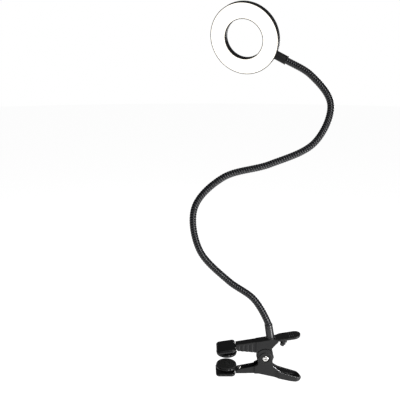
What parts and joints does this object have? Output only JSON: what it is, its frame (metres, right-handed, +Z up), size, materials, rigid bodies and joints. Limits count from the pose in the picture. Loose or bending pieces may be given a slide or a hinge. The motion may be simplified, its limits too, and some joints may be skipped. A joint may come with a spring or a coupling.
{
  "type": "clip on reading lamp",
  "caption": "Clip-on reading lamp: a spring clip with swivelling feet, a long bendable neck and a thin ring light whose face glows white.",
  "frame": {"origin": "centre of the upper foot's sole, on the face that rests on the board", "axes": "+Z up out of the board, +X from the jaws to the finger levers, +Y away from the lamp's front"},
  "size_m": [0.1849, 0.1533, 0.4754],
  "materials": {
    "clip_black": "satin",
    "foot_black": "gloss",
    "sole_rubber": "matte",
    "neck_black": "gloss",
    "ferrule_black": "gloss",
    "head_black": "satin",
    "diffuser_white": "satin",
    "reflector_white": "satin",
    "board_white": "satin",
    "steel": "satin",
    "collar_gloss": "gloss",
    "lead_jacket": "matte"
  },
  "bodies": {
    "clip_upper": {"upper_arm": "clip_black", "pivot_sleeve": "steel", "torsion_spring": "steel", "upper_jaw_plate": "clip_black", "upper_jaw_screw": "steel", "upper_foot_pin": "steel", "neck_ferrule": "ferrule_black", "ferrule_nut": "steel", "cord_gland": "clip_black", "gooseneck_1": "neck_black", "inner_lead": "lead_jacket"},
    "clip_lower": {"lower_arm": "clip_black", "pivot_screw": "steel", "pivot_nut": "steel", "lower_jaw_plate": "clip_black", "lower_jaw_screw": "steel", "lower_foot_pin": "steel"},
    "upper_pad": {"upper_foot": "foot_black", "upper_foot_sole": "sole_rubber"},
    "lower_pad": {"lower_foot": "foot_black", "lower_foot_sole": "sole_rubber"},
    "neck_2": {"gooseneck_2": "neck_black"},
    "neck_3": {"gooseneck_3": "neck_black"},
    "neck_4": {"gooseneck_4": "neck_black"},
    "neck_5": {"gooseneck_5": "neck_black"},
    "neck_6": {"gooseneck_6": "neck_black"},
    "neck_7": {"gooseneck_7": "neck_black"},
    "neck_8": {"gooseneck_8": "neck_black"},
    "neck_9": {"gooseneck_9": "neck_black"},
    "head": {"gooseneck_10": "neck_black", "head_collar": "ferrule_black", "collar_ring": "collar_gloss", "collar_nut": "steel", "head_rear_shell": "head_black", "outer_rim": "head_black", "inner_rim": "head_black", "diffuser": "diffuser_white", "reflector_tray": "reflector_white", "led_board": "board_white", "back_screw_1": "steel", "back_screw_2": "steel", "back_screw_3": "steel"}
  },
  "joints": [
    {"name": "clip_pivot", "type": "hinge", "parent": "clip_upper", "child": "clip_lower", "pos_m": [0.0497, 0, -0.0046], "axis": [0, -1, 0], "range_deg": [-16, 24], "stiffness_Nm_per_rad": 0.55, "springref_deg": -68.75, "deforming": ["torsion_spring"]},
    {"name": "upper_foot_swivel", "type": "hinge", "parent": "clip_upper", "child": "upper_pad", "pos_m": [0, 0, 0.0056], "axis": [0, -1, 0], "range_deg": [-8.5, 12.5]},
    {"name": "lower_foot_swivel", "type": "hinge", "parent": "clip_lower", "child": "lower_pad", "pos_m": [0, 0, -0.0206], "axis": [0, -1, 0], "range_deg": [-12.5, 8.5]},
    {"name": "neck_bend_1", "type": "hinge", "parent": "clip_upper", "child": "neck_2", "pos_m": [0.0345, 0.0086, 0.071], "axis": [0.0382, 0.9561, -0.2906], "range_deg": [-22, 22], "deforming": ["inner_lead"]},
    {"name": "neck_bend_2", "type": "hinge", "parent": "neck_2", "child": "neck_3", "pos_m": [0.002, 0.01792, 0.0925], "axis": [-0.6597, -0.1882, -0.7276], "range_deg": [-25, 25]},
    {"name": "neck_bend_3", "type": "hinge", "parent": "neck_3", "child": "neck_4", "pos_m": [-0.035, 0.02788, 0.131], "axis": [0, 0.9681, -0.2504], "range_deg": [-25, 25]},
    {"name": "neck_bend_4", "type": "hinge", "parent": "neck_4", "child": "neck_5", "pos_m": [-0.041, 0.04133, 0.183], "axis": [0.9486, -0.0793, -0.3065], "range_deg": [-25, 25]},
    {"name": "neck_bend_5", "type": "hinge", "parent": "neck_5", "child": "neck_6", "pos_m": [-0.005, 0.0509, 0.22], "axis": [0, 0.9681, -0.2504], "range_deg": [-25, 25]},
    {"name": "neck_bend_6", "type": "hinge", "parent": "neck_6", "child": "neck_7", "pos_m": [0.056, 0.05529, 0.237], "axis": [0.3594, -0.2336, -0.9034], "range_deg": [-25, 25]},
    {"name": "neck_bend_7", "type": "hinge", "parent": "neck_7", "child": "neck_8", "pos_m": [0.113, 0.06228, 0.264], "axis": [0, -0.9681, 0.2504], "range_deg": [-25, 25]},
    {"name": "neck_bend_8", "type": "hinge", "parent": "neck_8", "child": "neck_9", "pos_m": [0.133, 0.07443, 0.311], "axis": [-0.9949, -0.0251, -0.0972], "range_deg": [-25, 25]},
    {"name": "neck_bend_9", "type": "hinge", "parent": "neck_9", "child": "head", "pos_m": [0.108, 0.08374, 0.347], "axis": [0.0703, 0.9455, -0.318], "range_deg": [-25, 25]}
  ],
  "couplings": [
    {"joint": "upper_foot_swivel", "follows": "clip_pivot", "ratio": 0.5},
    {"joint": "lower_foot_swivel", "follows": "clip_pivot", "ratio": -0.5}
  ]
}
